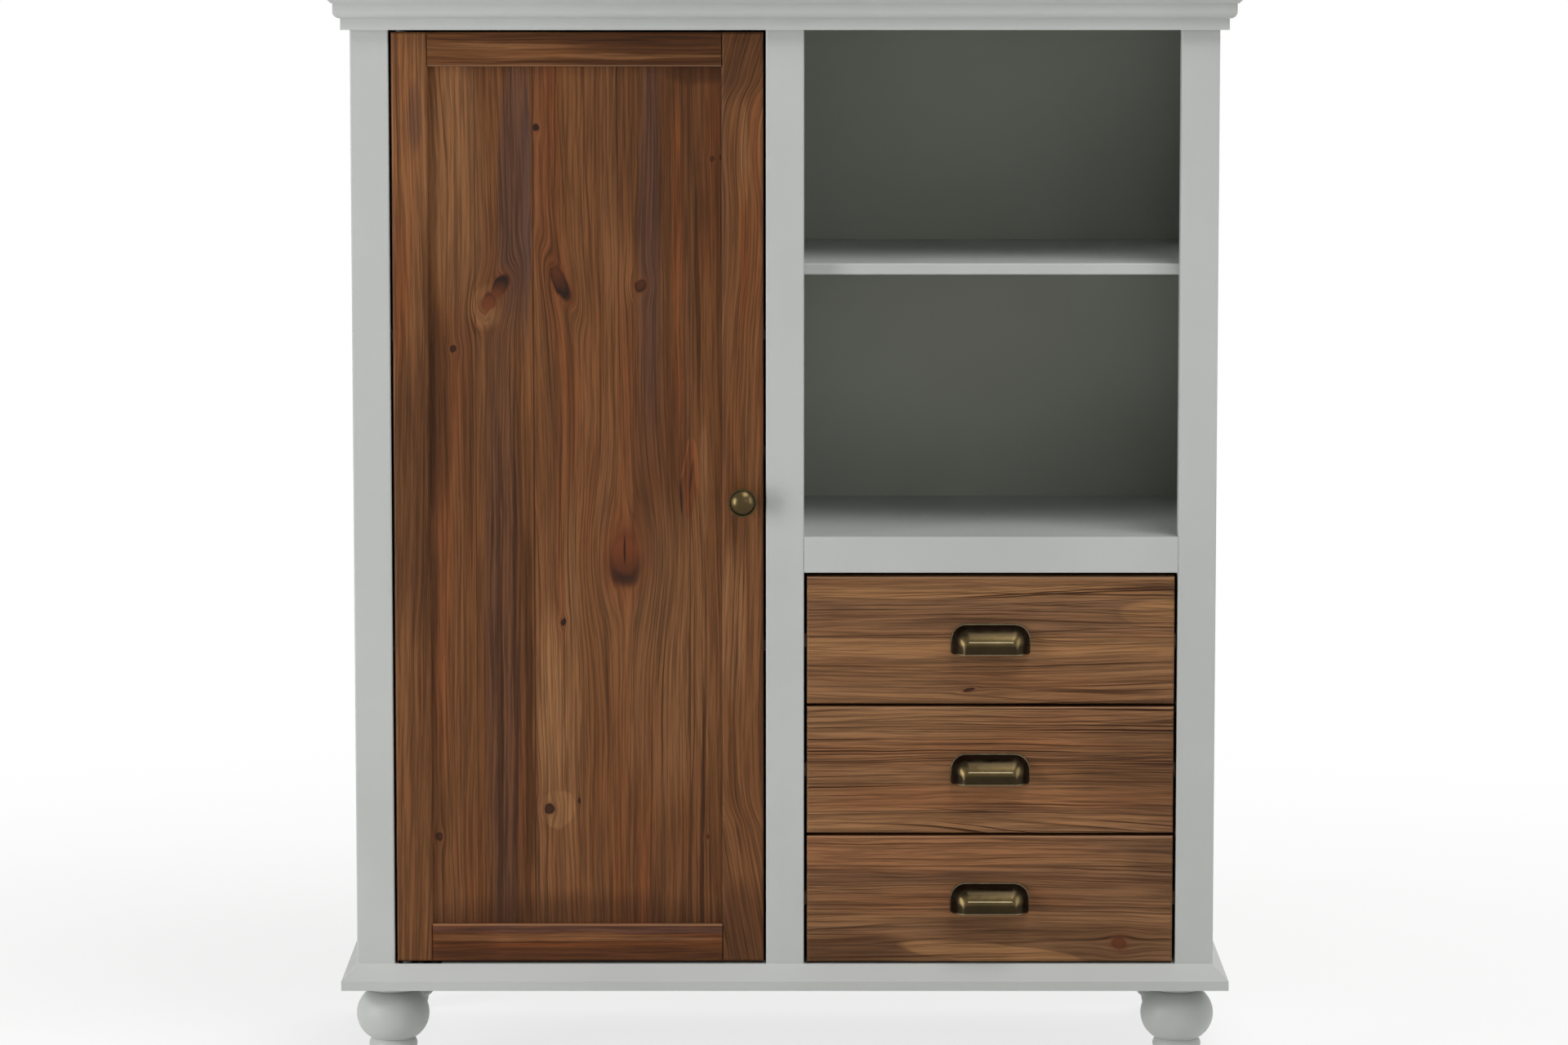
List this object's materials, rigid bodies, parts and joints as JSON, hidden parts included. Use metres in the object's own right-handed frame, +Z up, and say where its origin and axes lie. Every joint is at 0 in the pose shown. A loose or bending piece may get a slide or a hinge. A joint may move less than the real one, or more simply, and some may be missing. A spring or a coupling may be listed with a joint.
{
  "type": "highboard",
  "caption": "Tall painted cupboard with a framed wooden door beside an open shelf niche over a stack of drawers with cup pulls, under a moulded cornice, on turned ball feet.",
  "frame": {"origin": "on the floor, under the middle of the overall box", "axes": "+Z up, -Y towards the user (the front), +X to the right seen from the front"},
  "size_m": [0.956, 0.395, 1.154],
  "materials": {
    "grey_paint": "satin paint",
    "stained_pine": "dark stained, knotty, matt lacquer",
    "plain_pine": "bare, sanded",
    "hardwood": "bare, waxed",
    "fibreboard": "smooth board",
    "antique_brass": "antiqued, satin",
    "zinc_steel": "zinc plated",
    "white_nylon": "moulded",
    "brown_plastic": "moulded"
  },
  "bodies": {
    "carcass": {"base_board": "grey_paint", "top_board": "grey_paint", "side_panel_left": "grey_paint", "side_panel_right": "grey_paint", "partition": "grey_paint", "top_rail": "grey_paint", "stile_left": "grey_paint", "stile_centre": "grey_paint", "stile_right": "grey_paint", "back_panel": "grey_paint", "cornice_right": "grey_paint", "cornice_left": "grey_paint", "cornice_front": "grey_paint", "foot_front_left": "grey_paint", "foot_front_right": "grey_paint", "foot_back_left": "grey_paint", "foot_back_right": "grey_paint", "niche_floor": "grey_paint", "niche_rail": "grey_paint", "niche_shelf": "grey_paint", "cupboard_shelf_upper": "grey_paint", "cupboard_shelf_lower": "grey_paint", "foot_bolts": "zinc_steel", "shelf_pins": "zinc_steel", "carcass_screws": "zinc_steel", "pivot_plates": "zinc_steel", "door_catch": "brown_plastic", "drawer_runners": "hardwood", "carcass_dowels": "hardwood"},
    "door": {"door_hinge_stile": "stained_pine", "door_knob_stile": "stained_pine", "door_rail_top": "stained_pine", "door_rail_bottom": "stained_pine", "door_panel": "stained_pine", "door_knob": "antique_brass", "knob_screw": "zinc_steel", "pivot_bushes": "white_nylon", "catch_plate": "zinc_steel"},
    "drawer_lower": {"drawer_lower_front": "stained_pine", "drawer_lower_side_left": "plain_pine", "drawer_lower_side_right": "plain_pine", "drawer_lower_back": "plain_pine", "drawer_lower_bottom": "fibreboard", "drawer_lower_pull": "antique_brass", "drawer_lower_pull_screws": "zinc_steel"},
    "drawer_middle": {"drawer_middle_front": "stained_pine", "drawer_middle_side_left": "plain_pine", "drawer_middle_side_right": "plain_pine", "drawer_middle_back": "plain_pine", "drawer_middle_bottom": "fibreboard", "drawer_middle_pull": "antique_brass", "drawer_middle_pull_screws": "zinc_steel"},
    "drawer_upper": {"drawer_upper_front": "stained_pine", "drawer_upper_side_left": "plain_pine", "drawer_upper_side_right": "plain_pine", "drawer_upper_back": "plain_pine", "drawer_upper_bottom": "fibreboard", "drawer_upper_pull": "antique_brass", "drawer_upper_pull_screws": "zinc_steel"}
  },
  "joints": [
    {"name": "door_swing", "type": "hinge", "parent": "carcass", "child": "door", "pos_m": [-0.4015, -0.1635, 0.611], "axis": [0, 0, -1], "range_deg": [0, 105]},
    {"name": "drawer_lower_slide", "type": "slide", "parent": "carcass", "child": "drawer_lower", "axis": [0, -1, 0], "range_m": [0, 0.24]},
    {"name": "drawer_middle_slide", "type": "slide", "parent": "carcass", "child": "drawer_middle", "axis": [0, -1, 0], "range_m": [0, 0.24]},
    {"name": "drawer_upper_slide", "type": "slide", "parent": "carcass", "child": "drawer_upper", "axis": [0, -1, 0], "range_m": [0, 0.24]}
  ]
}
